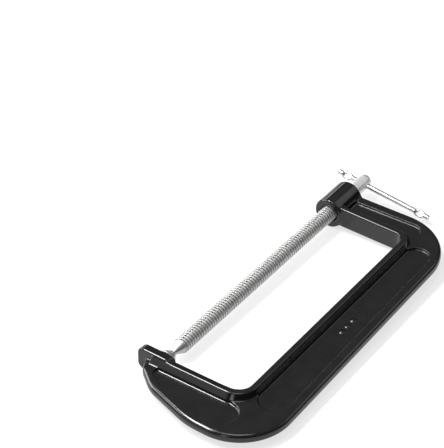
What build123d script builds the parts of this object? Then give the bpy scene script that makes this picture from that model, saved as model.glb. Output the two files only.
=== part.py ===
from build123d import *
import math
import os

os.makedirs("parts", exist_ok=True)

# Large C-clamp (G-clamp): cast frame, acme screw with a sliding tommy bar,
# ball tip and swivel pad.  Units are millimetres.
# Frame of the part: origin at the centre line of the screw, on the anvil face.
# +Y runs along the screw from the anvil to the tommy bar, +X runs into the
# throat towards the spine, +Z is up through the thickness of the casting, so
# the clamp lies flat.

# ------------------------------------------------------------- dimensions
# throat
throat_x_low = 91.3          # spine's inner face at the jaw end
throat_x_high = 88.3         # spine's inner face at the screw end
jaw_y = -2.4                 # jaw's inner face at the spine
jaw_y_tip = -4.2             # jaw's inner face beside the anvil
arm_y = 275.5                # upper arm's inner face
corner_r_low = 14.0
corner_r_high = 11.0
throat_slope = (jaw_y - jaw_y_tip) / (throat_x_low + 10.0)   # rise of the jaw's inner face

# casting section
rib_half = 11.0              # half height of the inner rib
jaw_crest, jaw_foot = 6.8, 11.3      # rib's crest width, and where its slope meets the body
spine_crest, spine_foot = 5.8, 9.6
arm_crest, arm_foot = 6.2, 9.8
rib_end_x = 2.0              # the rib runs into the boss and the anvil
body_half = 5.0              # half thickness of the body
web_half = 2.6               # half thickness of the web in the pockets
outer_round = 3.8            # rounding along the outer edge

# outline of the body, mid-plane
arm_outer_left = (6.0, 312.4)
arm_outer_corner = (132.1, 316.4)
spine_outer_corner = (143.1, -55.9)
jaw_p1 = (64.0, -55.6)
jaw_p2 = (12.0, -39.2)
jaw_p3 = (-8.0, -23.5)
jaw_p4 = (-14.5, -8.0)

# anvil
anvil_x0, anvil_x1 = -24.0, 14.3
anvil_half = 12.5
anvil_thick = 9.8
anvil_corner = 7.0

# boss
boss_r = 16.0
boss_y0, boss_y1 = 273.5, 313.0
bore_r = 8.04

# screw
screw_r = 7.94               # 5/8 inch
pitch = 3.5                  # one turn of the thread
thread_y0, thread_y1 = 24.4, 317.5
cone_slope = 0.442           # radius gained per millimetre along the pointed end
head_r = 7.5
head_hole_y = 336.0
head_dome_y = 339.6
hole_r = 2.9

# tommy bar
bar_r = 2.8
bar_neg, bar_pos = 28.6, 80.8    # reach each side of the screw's centre line
bar_drop = 6.1                   # degrees that the long end hangs low
ear_from_end = 11.0
ear_half_w = 4.1
ear_half_l = 4.7
ear_half_t = 1.7
ear_turn = 40.0                  # degrees, the flats' turn about the bar

# tip and swivel pad
rest_gap = 2.1
ball_y = 8.2
ball_r = 3.6
socket_r = 3.85
neck_r = 2.5
neck_y1 = 14.1
cone_r0, cone_y0 = 2.9, 15.0
pad_r = 9.8
pad_y1 = 12.6

# ------------------------------------------------------------------ frame
with BuildPart() as frame:
    # body of the casting, with its outer boundary and the throat
    with BuildSketch(Plane.XY.offset(-body_half)):
        with BuildLine():
            outer = FilletPolyline(
                arm_outer_left, arm_outer_corner, spine_outer_corner,
                jaw_p1, jaw_p2, jaw_p3, jaw_p4,
                radius=[60.0, 55.0, 80.0, 40.0, 18.0],
            )
            inner = FilletPolyline(
                (-10.0, jaw_y_tip), (throat_x_low, jaw_y),
                (throat_x_high, arm_y), (6.0, arm_y),
                radius=[corner_r_low, corner_r_high],
            )
            Line(jaw_p4, (-10.0, jaw_y_tip))
            Line((6.0, arm_y), arm_outer_left)
        make_face()
    extrude(amount=2 * body_half)

    # soft outer edge all the way round, from the upper arm to the jaw's end
    def on_outer(e):
        c = e.center()
        if abs(abs(c.Z) - body_half) > 0.01:
            return False
        ends = [e @ 0.0, e @ 0.5, e @ 1.0]
        return all(
            p.X > throat_x_low + 8 or p.Y > arm_y + 8 or p.Y < jaw_y - 5
            for p in ends
        ) and c.X > -14.0
    fillet(frame.edges().filter_by(on_outer), radius=outer_round)

    # recessed pockets on both faces
    for side in (1, -1):
        with BuildSketch(Plane.XY.offset(side * web_half)):
            # spine: a long tapered slot with round ends; its inner edge lies
            # under the rib
            with Locations((115.6, 12.3)):
                Circle(15.2)
            with Locations((110.8, 262.4)):
                Circle(13.0)
            make_hull()
            with BuildLine():
                Polyline(
                    (97.5, 12.3), (112.0, 12.3), (108.0, 262.4), (94.5, 262.4),
                    close=True,
                )
            make_face()
        extrude(amount=side * 10, mode=Mode.SUBTRACT)
        with BuildSketch(Plane.XY.offset(side * web_half)):
            # upper arm: square at the boss, round at the corner, wider that way
            with Locations((84.3, 294.9)):
                Circle(9.1)
            with BuildLine():
                Polyline(
                    (7.7, 283.0), (82.0, 283.0), (84.3, 290.0), (83.9, 303.99),
                    (7.7, 301.1), close=True,
                )
            make_face()
        extrude(amount=side * 10, mode=Mode.SUBTRACT)
        with BuildSketch(Plane.XY.offset(side * web_half)):
            # lower jaw: a crescent, narrow at the anvil
            with BuildLine():
                Line((5.4, -12.9), (84.0, -12.9))
                Spline(
                    (84.0, -12.9), (90.8, -14.0), (97.2, -17.3), (101.4, -25.0),
                    (100.0, -35.0), (93.5, -42.4), (84.0, -44.9),
                    (74.0, -44.7), (61.0, -42.9), (48.0, -40.4),
                    (35.0, -37.3), (21.5, -33.2), (11.0, -27.6),
                    (3.6, -21.4), (5.4, -12.9),
                    tangents=[(1, 0.0), (0.2, 1)],
                    tangent_scalars=[1.0, 1.0],
                )
            make_face()
        extrude(amount=side * 10, mode=Mode.SUBTRACT)

    # tall rib along the throat: flat crest, sloped outer side on both faces
    def rib_outline(arm_w, spine_w, jaw_w):
        FilletPolyline(
            (rib_end_x, arm_y + arm_w), (throat_x_high + spine_w, arm_y + arm_w),
            (throat_x_low + spine_w, jaw_y - jaw_w), (-6.0, jaw_y_tip - jaw_w),
            radius=[corner_r_high + spine_w, corner_r_low + spine_w],
        )
        Line((-6.0, jaw_y_tip - jaw_w), (rib_end_x, arm_y + arm_w))

    for side in (1, -1):
        with BuildPart(mode=Mode.PRIVATE) as rib:
            with BuildSketch(Plane.XY.offset(side * (body_half - 0.5))):
                with BuildLine():
                    rib_outline(arm_foot, spine_foot, jaw_foot)
                make_face()
            with BuildSketch(Plane.XY.offset(side * rib_half)):
                with BuildLine():
                    rib_outline(arm_crest, spine_crest, jaw_crest)
                make_face()
            loft(ruled=True)
            # the rib stands on the web, so its foot has a low upright wall
            with BuildSketch(Plane.XY.offset(side * (web_half - 1))):
                with BuildLine():
                    rib_outline(arm_foot, spine_foot, jaw_foot)
                make_face()
            extrude(amount=side * (body_half - 0.5 - web_half + 1))
            # the throat, open towards the screw
            with BuildSketch(Plane.XY):
                with BuildLine():
                    FilletPolyline(
                        (-60.0, jaw_y_tip - 50.0 * throat_slope), (throat_x_low, jaw_y),
                        (throat_x_high, arm_y), (-60.0, arm_y),
                        radius=[corner_r_low, corner_r_high],
                    )
                    Line((-60.0, arm_y), (-60.0, jaw_y_tip - 50.0 * throat_slope))
                make_face()
            extrude(amount=side * 15, mode=Mode.SUBTRACT)
            crest = rib.edges().filter_by(
                lambda e: abs(abs(e.center().Z) - rib_half) < 0.01
                and not (e.length < 10 and (e @ 0.5).X < rib_end_x + 0.01)
            )
            fillet(crest, radius=0.8)
        add(rib.part)

    # anvil: a thick plate across the end of the jaw
    with BuildPart(mode=Mode.PRIVATE) as anvil:
        with BuildSketch(Plane.XZ):
            with Locations(((anvil_x0 + anvil_x1) / 2, 0)):
                RectangleRounded(anvil_x1 - anvil_x0, 2 * anvil_half, anvil_corner)
        extrude(amount=anvil_thick)
        fillet(anvil.faces().sort_by(Axis.Y)[0].edges(), radius=1.6)
        fillet(anvil.faces().sort_by(Axis.Y)[-1].edges(), radius=0.8)
    add(anvil.part)

    # boss for the screw
    boss_plane = Plane(origin=(0, boss_y0, 0), x_dir=(1, 0, 0), z_dir=(0, 1, 0))
    with BuildPart(mode=Mode.PRIVATE) as boss:
        with BuildSketch(boss_plane):
            Circle(boss_r)
        extrude(amount=boss_y1 - boss_y0)
        fillet(boss.edges().filter_by(GeomType.CIRCLE), radius=1.8)
    add(boss.part)

    # bore, countersunk at both mouths
    with BuildSketch(Plane.XY):
        with BuildLine():
            Polyline(
                (0, boss_y0 - 5), (bore_r + 7.3, boss_y0 - 5),
                (bore_r, boss_y0 + 2.3), (bore_r, boss_y1 - 1.2),
                (bore_r + 6.2, boss_y1 + 5), (0, boss_y1 + 5), close=True,
            )
        make_face()
    revolve(axis=Axis.Y, revolution_arc=360, mode=Mode.SUBTRACT)

    # three plain raised pips on the web of the spine, in place of a size mark
    for side in (1, -1):
        with BuildSketch(Plane.XY.offset(side * (web_half - 0.4))):
            with Locations((112.6, 128.0), (112.3, 138.0), (112.0, 148.0)):
                Circle(2.6)
        extrude(amount=side * 1.3, taper=12)
frame.part.label = "frame"
export_step(frame.part, "parts/frame.step")

# ------------------------------------------------------------------ screw
cone_r1 = cone_r0 + cone_slope * (thread_y0 - cone_y0)
with BuildPart() as screw:
    with BuildSketch(Plane.XY):
        with BuildLine():
            Polyline(
                (0, thread_y0 + 0.05), (cone_r1, thread_y0 + 0.05),
                (screw_r, thread_y0 + 0.05 + (screw_r - cone_r1) / cone_slope),
                (screw_r, thread_y1 - 0.6),
                (head_r, thread_y1), (head_r, head_dome_y),
            )
            ThreePointArc(
                (head_r, head_dome_y),
                (head_r * math.sin(math.pi / 4), head_dome_y + head_r * math.cos(math.pi / 4)),
                (0, head_dome_y + head_r),
            )
            Line((0, head_dome_y + head_r), (0, thread_y0 + 0.05))
        make_face()
    revolve(axis=Axis.Y, revolution_arc=360)
    drop = math.radians(bar_drop)
    bar_dir = (math.cos(drop), 0, -math.sin(drop))
    hole_start = Plane(
        origin=(-20 * bar_dir[0], head_hole_y, -20 * bar_dir[2]), z_dir=bar_dir
    )
    with BuildSketch(hole_start):
        Circle(hole_r)
    extrude(amount=40, mode=Mode.SUBTRACT)
screw.part.label = "screw"
export_step(screw.part, "parts/screw.step")

# -------------------------------------------------------------- ball tip
with BuildPart() as ball_tip:
    cos_n = math.sqrt(ball_r ** 2 - neck_r ** 2)
    with BuildSketch(Plane.XY):
        with BuildLine():
            ThreePointArc(
                (0, ball_y - ball_r), (ball_r, ball_y), (neck_r, ball_y + cos_n)
            )
            Polyline(
                (neck_r, ball_y + cos_n), (neck_r, neck_y1), (cone_r0, cone_y0),
                (cone_r1, thread_y0), (0, thread_y0),
                (0, ball_y - ball_r),
            )
        make_face()
    revolve(axis=Axis.Y, revolution_arc=360)
ball_tip.part.label = "ball_tip"
export_step(ball_tip.part, "parts/ball_tip.step")

# ------------------------------------------------------------ swivel pad
with BuildPart() as swivel_pad:
    mouth_y = ball_y + 2.2
    mouth_r = math.sqrt(socket_r ** 2 - 2.2 ** 2)
    with BuildSketch(Plane.XY):
        with BuildLine():
            Line((0, rest_gap), (pad_r - 0.5, rest_gap))
            Line((pad_r - 0.5, rest_gap), (pad_r, rest_gap + 0.5))
            Line((pad_r, rest_gap + 0.5), (pad_r, rest_gap + 1.3))
            Spline(
                (pad_r, rest_gap + 1.3), (8.5, 6.0), (6.2, 9.3), (4.3, 12.0),
                tangents=[(-0.7, 0.8), (-0.35, 0.94)],
            )
            Polyline(
                (4.3, 12.0), (4.0, pad_y1), (3.32, pad_y1), (mouth_r, mouth_y),
            )
            ThreePointArc(
                (mouth_r, mouth_y), (socket_r, ball_y), (0, ball_y - socket_r)
            )
            Line((0, ball_y - socket_r), (0, rest_gap))
        make_face()
    revolve(axis=Axis.Y, revolution_arc=360)
swivel_pad.part.label = "swivel_pad"
export_step(swivel_pad.part, "parts/swivel_pad.step")

# ------------------------------------------------------------- tommy bar
turn = math.radians(ear_turn)
flat_up = Vector(
    math.sin(drop) * math.cos(turn), -math.sin(turn), math.cos(drop) * math.cos(turn)
)
axis_dir = Vector(*bar_dir)
centre = Vector(0, head_hole_y, 0)
with BuildPart() as tommy_bar:
    with BuildSketch(Plane(origin=centre - axis_dir * bar_neg, z_dir=axis_dir)):
        Circle(bar_r)
    extrude(amount=bar_neg + bar_pos)
    chamfer(tommy_bar.edges().filter_by(GeomType.CIRCLE), length=0.5)
    for s in (-bar_neg + ear_from_end, bar_pos - ear_from_end):
        # the bar is squeezed flat near each end, which widens it into an ear
        ear_plane = Plane(
            origin=centre + axis_dir * s, x_dir=axis_dir, z_dir=flat_up
        )
        with BuildSketch(ear_plane.offset(-ear_half_t)):
            Ellipse(ear_half_l, ear_half_w)
        extrude(amount=2 * ear_half_t)
        for side in (1, -1):
            with BuildSketch(ear_plane.offset(side * ear_half_t)):
                Ellipse(ear_half_l - 0.9, ear_half_w + 0.4)
            extrude(amount=side * 3, mode=Mode.SUBTRACT)
tommy_bar.part.label = "tommy_bar"
export_step(tommy_bar.part, "parts/tommy_bar.step")

for piece in (frame, screw, ball_tip, swivel_pad, tommy_bar):
    b = piece.part.bounding_box()
    print(piece.part.label, round(piece.part.volume, 1), b.min, b.max, len(piece.part.solids()))
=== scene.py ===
# A large C-clamp: glossy black enamelled casting, bright plated acme screw,
# ball tip, swivel pad and a tommy bar with squeezed ears.
import math

import bmesh
import bpy
import numpy as np
from mathutils import Matrix, Vector


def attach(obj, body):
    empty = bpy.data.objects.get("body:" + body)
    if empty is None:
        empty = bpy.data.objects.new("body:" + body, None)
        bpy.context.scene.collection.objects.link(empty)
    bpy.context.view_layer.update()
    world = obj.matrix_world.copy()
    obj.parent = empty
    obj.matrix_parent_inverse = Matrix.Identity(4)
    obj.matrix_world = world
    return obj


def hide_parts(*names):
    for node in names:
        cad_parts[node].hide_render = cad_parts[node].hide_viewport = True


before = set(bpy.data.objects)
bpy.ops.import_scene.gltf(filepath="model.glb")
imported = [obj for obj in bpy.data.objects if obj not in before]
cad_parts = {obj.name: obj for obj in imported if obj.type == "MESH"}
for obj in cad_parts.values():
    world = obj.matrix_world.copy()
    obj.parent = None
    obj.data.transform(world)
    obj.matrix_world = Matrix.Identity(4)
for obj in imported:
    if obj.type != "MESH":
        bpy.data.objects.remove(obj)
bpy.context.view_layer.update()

MM = 0.001

# ---------------------------------------------------------------- sizes, mm
SCREW_R = 7.94
PITCH = 3.5
ROOT_R = SCREW_R - 1.3
THREAD_Y0, THREAD_Y1 = 24.45, 317.5
HEAD_R = 7.5
HOLE_Y = 336.0
DOME_Y = 339.6
HOLE_R = 2.9
BALL_Y, BALL_R, NECK_R = 8.2, 3.6, 2.5
CONE_R0, CONE_Y0, CONE_SLOPE = 2.9, 15.0, 0.442
CONE_R1 = CONE_R0 + CONE_SLOPE * (THREAD_Y0 - 0.05 - CONE_Y0)
BAR_R = 2.8
BAR_NEG, BAR_POS = 28.6, 80.8
BAR_DROP = math.radians(6.1)
EAR_IN = 11.0
EAR_TURN = math.radians(40.0)


# ------------------------------------------------------------- mesh helpers
def new_object(name, verts, faces):
    me = bpy.data.meshes.new(name)
    me.from_pydata([tuple(v) for v in verts], [], faces)
    me.validate()
    o = bpy.data.objects.new(name, me)
    bpy.context.scene.collection.objects.link(o)
    return o


def tidy(o, merge=1e-7):
    bm = bmesh.new()
    bm.from_mesh(o.data)
    bmesh.ops.remove_doubles(bm, verts=bm.verts, dist=merge)
    bmesh.ops.dissolve_degenerate(bm, edges=bm.edges, dist=merge)
    bmesh.ops.recalc_face_normals(bm, faces=bm.faces)
    bm.to_mesh(o.data)
    bm.free()
    return o


def smooth(o, angle=35):
    bpy.context.view_layer.objects.active = o
    for x in bpy.context.selected_objects:
        x.select_set(False)
    o.select_set(True)
    bpy.ops.object.shade_smooth_by_angle(angle=math.radians(angle))
    return o


def round_profile(points, radii, steps=4):
    """Rounds the corners of a (r, y) line: radii holds one radius a point, 0 for a sharp one."""
    out = []
    n = len(points)
    for i, (p, rad) in enumerate(zip(points, radii)):
        p = np.array(p, float)
        if rad <= 0 or i in (0, n - 1):
            out.append(tuple(p))
            continue
        a = np.array(points[i - 1], float) - p
        b = np.array(points[i + 1], float) - p
        la, lb = np.linalg.norm(a), np.linalg.norm(b)
        a, b = a / la, b / lb
        half = math.acos(max(-1, min(1, float(a @ b)))) / 2
        cut = min(rad / math.tan(half), 0.48 * la, 0.48 * lb)
        r = cut * math.tan(half)
        mid = (a + b) / np.linalg.norm(a + b)
        c = p + mid * (r / math.sin(half))
        v0, v1 = p + a * cut - c, p + b * cut - c
        w = math.acos(max(-1, min(1, float(v0 @ v1) / (np.linalg.norm(v0) * np.linalg.norm(v1)))))
        for k in range(steps + 1):
            t = k / steps
            s = math.sin(w)
            q = c + (v0 * math.sin((1 - t) * w) + v1 * math.sin(t * w)) / s if s > 1e-6 else p
            out.append(tuple(q))
    return out


def lathe(name, profile, n=96):
    """A closed solid of revolution about Y from a (radius, y) line in mm that starts and ends on the axis."""
    verts, faces, rings = [], [], []
    for r, y in profile:
        if r < 1e-6:
            rings.append([len(verts)])
            verts.append((0, y * MM, 0))
        else:
            ring = []
            for i in range(n):
                a = 2 * math.pi * i / n
                ring.append(len(verts))
                verts.append((r * MM * math.sin(a), y * MM, r * MM * math.cos(a)))
            rings.append(ring)
    for a, b in zip(rings, rings[1:]):
        if len(a) == 1 and len(b) == 1:
            continue
        for i in range(n):
            j = (i + 1) % n
            if len(a) == 1:
                faces.append((a[0], b[j], b[i]))
            elif len(b) == 1:
                faces.append((a[i], a[j], b[0]))
            else:
                faces.append((a[i], a[j], b[j], b[i]))
    return tidy(new_object(name, verts, faces))


# ------------------------------------------------------------------- screw
def make_thread():
    R, r0 = SCREW_R - 0.01, ROOT_R
    half = [
        (0.00, R), (0.56, R), (0.68, R - 0.02), (0.77, R - 0.07), (0.84, R - 0.17),
        (0.90, R - 0.34), (1.12, r0 + 0.28), (1.20, r0 + 0.12), (1.30, r0 + 0.03),
        (1.42, r0), (PITCH / 2, r0),
    ]
    one = [(-d, r) for d, r in reversed(half[1:-1])] + half      # from root to root
    M, N = len(one), 72
    turns = int((THREAD_Y1 - THREAD_Y0) / PITCH) + 4
    rows = turns * M
    verts = np.zeros((N, rows, 3))
    for i in range(N):
        a = 2 * math.pi * i / N
        for j in range(rows):
            k, m = divmod(j, M)
            y = THREAD_Y0 - 2 * PITCH + (k + a / (2 * math.pi)) * PITCH + one[m][0]
            r = one[m][1]
            y = min(max(y, THREAD_Y0), THREAD_Y1)
            r = min(r, CONE_R1 + CONE_SLOPE * (y - THREAD_Y0))     # the turned point cuts across the thread
            if y - THREAD_Y0 < 0.6:
                r = CONE_R1 + (r - CONE_R1) * (y - THREAD_Y0) / 0.6
            t = min(max((THREAD_Y1 - y) / 4.0, 0), 1)
            t = t * t * (3 - 2 * t)
            r = HEAD_R + (r - HEAD_R) * t
            verts[i, j] = (r * math.sin(a) * MM, y * MM, r * math.cos(a) * MM)
    idx = np.arange(N * rows).reshape(N, rows)
    faces = []
    for i in range(N):
        for j in range(rows - 1):
            a, b = idx[i, j], idx[i, j + 1]
            if i < N - 1:
                c, d = idx[i + 1, j + 1], idx[i + 1, j]
            else:
                # a full turn later the strip meets the next thread
                if j + 1 - M < 0:
                    continue
                c, d = idx[0, j + 1 - M], idx[0, j - M] if j - M >= 0 else None
                if d is None:
                    continue
            faces.append((int(a), int(b), int(c), int(d)))
    o = new_object("screw_thread", verts.reshape(-1, 3), faces)
    bm = bmesh.new()
    bm.from_mesh(o.data)
    bmesh.ops.remove_doubles(bm, verts=bm.verts, dist=2e-7)
    bmesh.ops.dissolve_degenerate(bm, edges=bm.edges, dist=2e-7)
    loose = [v for v in bm.verts if not v.link_faces]
    bmesh.ops.delete(bm, geom=loose, context="VERTS")
    bmesh.ops.holes_fill(bm, edges=[e for e in bm.edges if e.is_boundary], sides=0)
    bmesh.ops.recalc_face_normals(bm, faces=bm.faces)
    bm.to_mesh(o.data)
    bm.free()
    return o


thread = smooth(make_thread(), 40)

head_profile = [(0, THREAD_Y1 - 0.02), (HEAD_R, THREAD_Y1 - 0.02), (HEAD_R, 322.0), (HEAD_R, 327.0)]
head_profile += [(HEAD_R, 330.0 + 0.8 * k) for k in range(12)]
for k in range(1, 15):
    a = math.pi / 2 * k / 14
    head_profile.append((HEAD_R * math.cos(a), DOME_Y + HEAD_R * math.sin(a) - 0.02))
head_profile[-1] = (0, DOME_Y + HEAD_R - 0.02)
head = lathe("screw_head", head_profile, 96)

# cross hole with a broken edge, cut with a rod that widens at the surface
bar_dir = Vector((math.cos(BAR_DROP), 0, -math.sin(BAR_DROP)))
cut_line = [(0, -12), (4.6, -12), (4.3, -7.9), (3.2, -6.75), (HOLE_R, -6.2), (HOLE_R, 6.2), (3.2, 6.75), (4.3, 7.9), (4.6, 12), (0, 12)]
cutter = lathe("cutter", cut_line, 48)
rot = Vector((0, 1, 0)).rotation_difference(bar_dir).to_matrix().to_4x4()
rot.translation = Vector((0, HOLE_Y * MM, 0))
cutter.data.transform(rot)
mod = head.modifiers.new("hole", "BOOLEAN")
mod.operation, mod.solver, mod.object = "DIFFERENCE", "EXACT", cutter
bpy.context.view_layer.objects.active = head
bpy.context.view_layer.update()
dg = bpy.context.evaluated_depsgraph_get()
cut_mesh = bpy.data.meshes.new_from_object(head.evaluated_get(dg))
head.modifiers.clear()
head.data = cut_mesh
bpy.data.objects.remove(cutter)
smooth(head, 38)

# ---------------------------------------------------------------- ball tip
cos_n = math.sqrt(BALL_R**2 - NECK_R**2)
tip_line = [(0, BALL_Y - BALL_R)]
a0, a1 = -math.pi / 2, math.atan2(cos_n, NECK_R)
for k in range(1, 20):
    a = a0 + (a1 - a0) * k / 19
    tip_line.append((BALL_R * math.cos(a), BALL_Y + BALL_R * math.sin(a)))
tip_line += round_profile(
    [(NECK_R, BALL_Y + cos_n), (NECK_R, 14.1), (CONE_R0, CONE_Y0), (CONE_R1 - 0.01, THREAD_Y0 - 0.06),
     (0, THREAD_Y0 - 0.06)],
    [0, 0.9, 1.2, 0.0, 0], 5,
)[1:]
tip = smooth(lathe("ball_tip_turned", tip_line, 96), 30)

# -------------------------------------------------------------- swivel pad
SOCKET_R = 3.85
mouth_r = math.sqrt(SOCKET_R**2 - 2.2**2)
pad_line = round_profile(
    [
        (0, 2.12), (9.78, 2.12), (9.78, 3.35), (9.35, 4.5), (8.45, 6.0), (7.3, 7.8), (6.2, 9.25),
        (4.95, 11.0), (4.3, 11.95), (4.0, 12.58), (3.34, 12.58), (mouth_r, 10.4),
    ],
    [0, 0.5, 0.5, 1.5, 3.0, 3.0, 3.0, 2.0, 0.5, 0.3, 0.25, 0], 5,
)
b0, b1 = math.atan2(2.2, mouth_r), -math.pi / 2
for k in range(1, 17):
    a = b0 + (b1 - b0) * k / 16
    pad_line.append((SOCKET_R * math.cos(a) if k < 16 else 0, BALL_Y + SOCKET_R * math.sin(a)))
pad = smooth(lathe("swivel_pad_turned", pad_line, 112), 30)


# --------------------------------------------------------------- tommy bar
def make_bar():
    u = bar_dir
    w = Vector((math.sin(BAR_DROP) * math.cos(EAR_TURN), -math.sin(EAR_TURN), math.cos(BAR_DROP) * math.cos(EAR_TURN)))
    v = w.cross(u)
    c = Vector((0, HOLE_Y * MM, 0))
    s_values = [-BAR_NEG, -BAR_NEG + 0.02]
    s_values += [-BAR_NEG + 0.45 * (1 - math.cos(math.pi / 2 * k / 4)) + 0.02 for k in range(1, 5)]
    s = s_values[-1] + 0.35
    ear_s = (-BAR_NEG + EAR_IN, BAR_POS - EAR_IN)
    while s < BAR_POS - 0.5:
        s_values.append(s)
        near = min(abs(s - e) for e in ear_s)
        s += 0.28 if near < 7.5 else 2.5
    s_values += [BAR_POS - 0.02 - 0.45 * (1 - math.cos(math.pi / 2 * k / 4)) for k in range(4, 0, -1)]
    s_values += [BAR_POS - 0.02, BAR_POS]
    s_values = sorted(set(round(x, 4) for x in s_values))
    n = 72
    verts, rings = [], []
    for s in s_values:
        end = min(s + BAR_NEG, BAR_POS - s)
        r = BAR_R - 0.02
        if end < 0.5:
            r -= 0.45 * (1 - math.sqrt(max(0, 1 - (1 - end / 0.5) ** 2)))
        e = min(ear_s, key=lambda x: abs(x - s))
        d = (s - e) / 5.1
        # squeezed flat: wide one way, thin the other
        f = max(0.0, 1 - d * d)
        f = f ** 0.5 if f > 0 else 0
        f = f * f * (3 - 2 * f)
        wide = r + (4.08 - r) * f
        thin = r + (1.75 - r) * min(1.0, f * 1.25)
        ring = []
        for i in range(n):
            a = 2 * math.pi * i / n
            ca, sa = math.cos(a), math.sin(a)
            p = 2.0 + 1.1 * f          # squarer section where it is squeezed
            k = (abs(ca) ** p + abs(sa) ** p) ** (-1 / p)
            x, z = wide * ca * k, thin * sa * k
            # the die leaves a shallow oval dish with a raised lip
            if f > 0 and abs(sa) > 0.05:
                q = math.hypot((s - e) / 3.6, x / 3.1)
                dish = 0.38 * max(0.0, 1 - q ** 4)
                z -= math.copysign(dish, z) if abs(z) > 0.9 else 0
            ring.append(len(verts))
            verts.append(c + (u * s + v * x + w * z) * MM)
        rings.append(ring)
    faces = []
    for ra, rb in zip(rings, rings[1:]):
        for i in range(n):
            j = (i + 1) % n
            faces.append((ra[i], ra[j], rb[j], rb[i]))
    faces.append(tuple(reversed(rings[0])))
    faces.append(tuple(rings[-1]))
    return tidy(new_object("tommy_bar_swaged", verts, faces))


bar = smooth(make_bar(), 40)

# ------------------------------------------------------------ cast frame
cad_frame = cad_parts["frame"]
casting = bpy.data.objects.new("frame_casting", cad_frame.data.copy())
bpy.context.scene.collection.objects.link(casting)
casting.data.materials.clear()
tidy(casting, 2e-6)
# turned on the remesher's grid, so that no long edge runs along it
grid_turn = Matrix.Rotation(0.5256, 4, "Z")
casting.data.transform(grid_turn)
rem = casting.modifiers.new("remesh", "REMESH")
rem.mode, rem.voxel_size, rem.adaptivity = "VOXEL", 0.0005, 0.0
bpy.context.view_layer.update()
dg = bpy.context.evaluated_depsgraph_get()
cast_mesh = bpy.data.meshes.new_from_object(casting.evaluated_get(dg))
casting.modifiers.clear()
casting.data = cast_mesh
cast_mesh.transform(grid_turn.inverted())


def throat_y(x):
    """The jaw's inner face."""
    return -4.2 + (x + 10) * 1.8 / 101.3


# casting draft: the jaw's crest and the anvil's sides lean a few degrees towards the screw
co = np.empty(len(cast_mesh.vertices) * 3)
cast_mesh.vertices.foreach_get("co", co)
co = co.reshape(-1, 3) / MM
x, y, z = co[:, 0].copy(), co[:, 1].copy(), co[:, 2].copy()
up = np.sign(z)
on_anvil = (y > -11.0) & (y < 1.0) & (x < 14.6)
lean = np.clip((y + 9.8) / 9.8, 0, 1) * 0.95
z = np.where(on_anvil, z * (1 - lean / 12.5), z)
crest = np.clip((np.abs(z) - 5.5) / 4.5, 0, 1)
along = np.clip((y - throat_y(x) + 7.2) / 7.2, 0, 1)
fade = np.clip((84 - x) / 14, 0, 1) * np.clip((x - 10) / 6, 0, 1)
on_jaw = (y < 2) & (y > -14) & ~on_anvil
z = np.where(on_jaw, z - up * crest * along * fade * 0.85, z)
co[:, 2] = z

# vertex groups for a general softening and for the wide blends at the boss and behind the anvil
soft = casting.vertex_groups.new(name="soft")
soft.add(list(range(len(co))), 1.0, "REPLACE")
r_boss = np.hypot(x, z)
w_boss = np.clip(1 - np.abs(r_boss - 16.4) / 2.6, 0, 1) * np.clip((x - 6) / 4, 0, 1) * ((y > 272) & (y < 316))
w_anvil = np.clip(1 - np.abs(y + 10.6) / 3.4, 0, 1) * np.clip((13.0 - np.abs(z)) / 3, 0, 1) * ((x > -21) & (x < 13))
w_anvil = w_anvil * np.clip((11.5 - np.abs(z)) / 1.5, 0, 1)
blend = np.clip(np.maximum(w_boss, w_anvil), 0, 1)
cast_mesh.vertices.foreach_set("co", (co * MM).reshape(-1))
wide = casting.vertex_groups.new(name="wide")
for level in range(1, 11):
    pick = np.nonzero((blend > (level - 1) / 10) & (blend <= level / 10))[0]
    if len(pick):
        wide.add([int(i) for i in pick], level / 10, "REPLACE")
sm = casting.modifiers.new("soften", "SMOOTH")
sm.factor, sm.iterations = 0.5, 12
sm = casting.modifiers.new("blend", "SMOOTH")
sm.factor, sm.iterations, sm.vertex_group = 0.5, 60, "wide"
bpy.context.view_layer.update()
dg = bpy.context.evaluated_depsgraph_get()
cast_mesh = bpy.data.meshes.new_from_object(casting.evaluated_get(dg))
casting.modifiers.clear()
casting.data = cast_mesh
casting.vertex_groups.clear()
cast_mesh.polygons.foreach_set("use_smooth", [True] * len(cast_mesh.polygons))
print("casting faces", len(cast_mesh.polygons))


# --------------------------------------------------------------- materials
def material(name):
    m = bpy.data.materials.new(name)
    m.use_nodes = True
    nt = m.node_tree
    for n in list(nt.nodes):
        nt.nodes.remove(n)
    out = nt.nodes.new("ShaderNodeOutputMaterial")
    b = nt.nodes.new("ShaderNodeBsdfPrincipled")
    nt.links.new(b.outputs[0], out.inputs[0])
    return m, nt, b


def node(nt, kind, **values):
    n = nt.nodes.new(kind)
    for k, v in values.items():
        if hasattr(n, k):
            setattr(n, k, v)
        else:
            n.inputs[k].default_value = v
    return n


def ramp(nt, fac, stops):
    r = nt.nodes.new("ShaderNodeValToRGB")
    while len(r.color_ramp.elements) < len(stops):
        r.color_ramp.elements.new(0.5)
    for e, (p, c) in zip(r.color_ramp.elements, stops):
        e.position = p
        e.color = (c, c, c, 1) if isinstance(c, (int, float)) else (*c, 1)
    nt.links.new(fac, r.inputs[0])
    return r.outputs[0]


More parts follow.
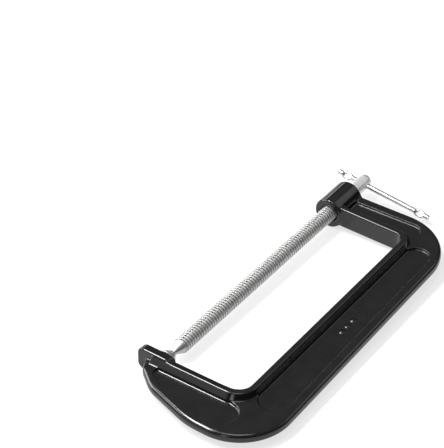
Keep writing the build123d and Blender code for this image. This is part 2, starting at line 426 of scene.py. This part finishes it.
def enamel():
    m, nt, b = material("black_enamel")
    co = node(nt, "ShaderNodeTexCoord").outputs["Object"]
    fine = node(nt, "ShaderNodeTexNoise", Scale=520.0, Detail=4.0, Roughness=0.6)
    wide = node(nt, "ShaderNodeTexNoise", Scale=70.0, Detail=3.0, Roughness=0.5)
    for n in (fine, wide):
        nt.links.new(co, n.inputs["Vector"])
    col = ramp(nt, wide.outputs[0], [(0.3, (0.0035, 0.0035, 0.0040)), (0.7, (0.0065, 0.0065, 0.0070))])
    nt.links.new(col, b.inputs["Base Color"])
    rough = ramp(nt, fine.outputs[0], [(0.3, 0.12), (0.75, 0.2)])
    nt.links.new(rough, b.inputs["Roughness"])
    b.inputs["IOR"].default_value = 1.5
    bump1 = node(nt, "ShaderNodeBump", Strength=0.07, Distance=0.0003)
    bump2 = node(nt, "ShaderNodeBump", Strength=0.1, Distance=0.0015)
    nt.links.new(fine.outputs[0], bump1.inputs["Height"])
    nt.links.new(wide.outputs[0], bump2.inputs["Height"])
    nt.links.new(bump2.outputs[0], bump1.inputs["Normal"])
    nt.links.new(bump1.outputs[0], b.inputs["Normal"])
    return m


def plated(name, base=(0.74, 0.74, 0.735), rough=(0.22, 0.38), bump=0.1, scale=260.0, shade_thread_roots=False):
    m, nt, b = material(name)
    co = node(nt, "ShaderNodeTexCoord").outputs["Object"]
    n1 = node(nt, "ShaderNodeTexNoise", Scale=scale, Detail=6.0, Roughness=0.62)
    n2 = node(nt, "ShaderNodeTexNoise", Scale=scale * 0.16, Detail=3.0, Roughness=0.5)
    for n in (n1, n2):
        nt.links.new(co, n.inputs["Vector"])
    dark = tuple(c * 0.88 for c in base)
    col = ramp(nt, n2.outputs[0], [(0.3, dark), (0.7, base)])
    if shade_thread_roots:
        # painted shade in the bottom of the thread: the base colour darkens towards the thread root, by distance from
        # the screw's axis
        flat = node(nt, "ShaderNodeVectorMath", operation="MULTIPLY")
        flat.inputs[1].default_value = (1, 0, 1)
        nt.links.new(co, flat.inputs[0])
        dist = node(nt, "ShaderNodeVectorMath", operation="LENGTH")
        nt.links.new(flat.outputs[0], dist.inputs[0])
        span = node(nt, "ShaderNodeMapRange")
        span.inputs["From Min"].default_value = ROOT_R * MM
        span.inputs["From Max"].default_value = SCREW_R * MM
        nt.links.new(dist.outputs["Value"], span.inputs["Value"])
        root_shade = ramp(nt, span.outputs[0], [(0.0, 0.62), (0.25, 0.7), (0.8, 0.92), (0.95, 1.0)])
        mix = node(nt, "ShaderNodeMix", data_type="RGBA", blend_type="MULTIPLY")
        mix.inputs["Factor"].default_value = 1.0
        nt.links.new(col, mix.inputs["A"])
        nt.links.new(root_shade, mix.inputs["B"])
        col = mix.outputs["Result"]
    nt.links.new(col, b.inputs["Base Color"])
    b.inputs["Metallic"].default_value = 1.0
    r = ramp(nt, n1.outputs[0], [(0.3, rough[0]), (0.75, rough[1])])
    nt.links.new(r, b.inputs["Roughness"])
    bp = node(nt, "ShaderNodeBump", Strength=bump, Distance=0.0004)
    nt.links.new(n1.outputs[0], bp.inputs["Height"])
    nt.links.new(bp.outputs[0], b.inputs["Normal"])
    return m


black = enamel()
# the thread's material darkens its base colour in the thread roots as painted shade
zinc_thread = plated("zinc_thread", base=(0.61, 0.61, 0.605), rough=(0.5, 0.62), bump=0.04, shade_thread_roots=True)
zinc_tip = plated("zinc_tip", base=(0.5, 0.5, 0.495), rough=(0.38, 0.5), bump=0.05)
zinc_head = plated("zinc_head", base=(0.84, 0.84, 0.835), rough=(0.42, 0.56), bump=0.2, scale=380.0)
zinc_bar = plated("zinc_bar", base=(0.66, 0.66, 0.655), rough=(0.22, 0.36), bump=0.06)

pieces = [
    (casting, black, "frame", "frame", "frame_enamel"),
    (thread, zinc_thread, "screw", "screw", "plated_steel"),
    (head, zinc_head, "screw", "screw", "plated_steel"),
    (tip, zinc_tip, "tip", "ball_tip", "plated_steel"),
    (pad, zinc_tip, "pad", "swivel_pad", "plated_steel"),
    (bar, zinc_bar, "bar", "tommy_bar", "plated_steel"),
]
for o, m, body, cad_node, slot_name in pieces:
    o.data.materials.clear()
    o.data.materials.append(m)
    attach(o, body)
    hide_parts(cad_node)

# -------------------------------------------------------- floor and lights
# the clamp rests on its boss, its anvil and the rib's lower corner
def floor_z(x, y):
    return -12.5 - 0.01255 * (y + 5.0) + 0.0125 * x


S = 9000.0
floor = new_object(
    "floor",
    [Vector((x, y, floor_z(x, y) - 0.15)) * MM for x, y in ((-S, -S), (S, -S), (S, S), (-S, S))],
    [(0, 1, 2, 3)],
)
m, nt, b = material("floor_pale")
b.inputs["Base Color"].default_value = (0.25, 0.25, 0.25, 1)
b.inputs["Emission Color"].default_value = (1, 1, 1, 1)
b.inputs["Emission Strength"].default_value = 0.71
b.inputs["Roughness"].default_value = 0.75
b.inputs["Specular IOR Level"].default_value = 0.15
floor.data.materials.append(m)


def area(name, where, look, size, power, size_y=None, color=(1, 1, 1)):
    l = bpy.data.lights.new(name, "AREA")
    l.shape = "RECTANGLE"
    l.size, l.size_y = size, size_y or size
    l.energy = power
    l.color = color
    o = bpy.data.objects.new(name, l)
    o.location = where
    o.rotation_mode = "QUATERNION"
    o.rotation_quaternion = (Vector(look) - Vector(where)).to_track_quat("-Z", "Y")
    bpy.context.scene.collection.objects.link(o)
    return o


target = (0.06, 0.14, 0.0)
area("key_left", (-1.5, -0.2, 0.85), target, 1.1, 32.0, 1.1)
area("top", (-0.05, 0.0, 2.1), target, 0.8, 10.0, 0.8)
area("fill_front", (0.4, -2.2, 1.0), target, 0.4, 4.0, 1.0)
area("slope_fill", (-1.1, -1.75, 1.05), target, 1.5, 4.2, 1.0)
# a long strip overhead on the left draws the bright lines along the casting's edges
area("edge_strip", (-0.9, -0.05, 1.9), target, 1.5, 54.0, 0.35)
area("back_top", (1.03, 1.61, 1.47), target, 1.6, 5.4, 1.2)
area("back_left", (-1.6, 1.5, 0.55), target, 0.6, 2.0, 0.35)

world = bpy.data.worlds.new("world")
bpy.context.scene.world = world
world.use_nodes = True
wt = world.node_tree
bg = wt.nodes["Background"]
tc = wt.nodes.new("ShaderNodeTexCoord")
sep = wt.nodes.new("ShaderNodeSeparateXYZ")
wt.links.new(tc.outputs["Generated"], sep.inputs[0])
cr = wt.nodes.new("ShaderNodeValToRGB")
cr.color_ramp.elements[0].position, cr.color_ramp.elements[0].color = 0.46, (0.03, 0.03, 0.03, 1)
cr.color_ramp.elements[1].position, cr.color_ramp.elements[1].color = 0.60, (0.27, 0.27, 0.27, 1)
wt.links.new(sep.outputs["Z"], cr.inputs[0])
wt.links.new(cr.outputs[0], bg.inputs[0])
bg.inputs[1].default_value = 1.0
bpy.context.scene.view_settings.view_transform = "Standard"
bpy.context.scene.view_settings.look = "None"

# ------------------------------------------------------------------ camera
cam = bpy.data.cameras.new("camera")
cam.sensor_fit = "HORIZONTAL"
cam.sensor_width = 36.0
cam.lens = 2186.17 * 36.0 / 444.0
cam.clip_start, cam.clip_end = 0.05, 60.0
eye = bpy.data.objects.new("camera", cam)
a, e = math.radians(35.845), math.radians(38.156)
back = Vector((math.sin(a) * math.cos(e), -math.cos(a) * math.cos(e), math.sin(e)))
eye.location = Vector((928.83825282, -1194.39418246, 1349.19179631)) * MM
eye.rotation_mode = "QUATERNION"
eye.rotation_quaternion = (-back).to_track_quat("-Z", "Y")
bpy.context.scene.collection.objects.link(eye)
bpy.context.scene.camera = eye
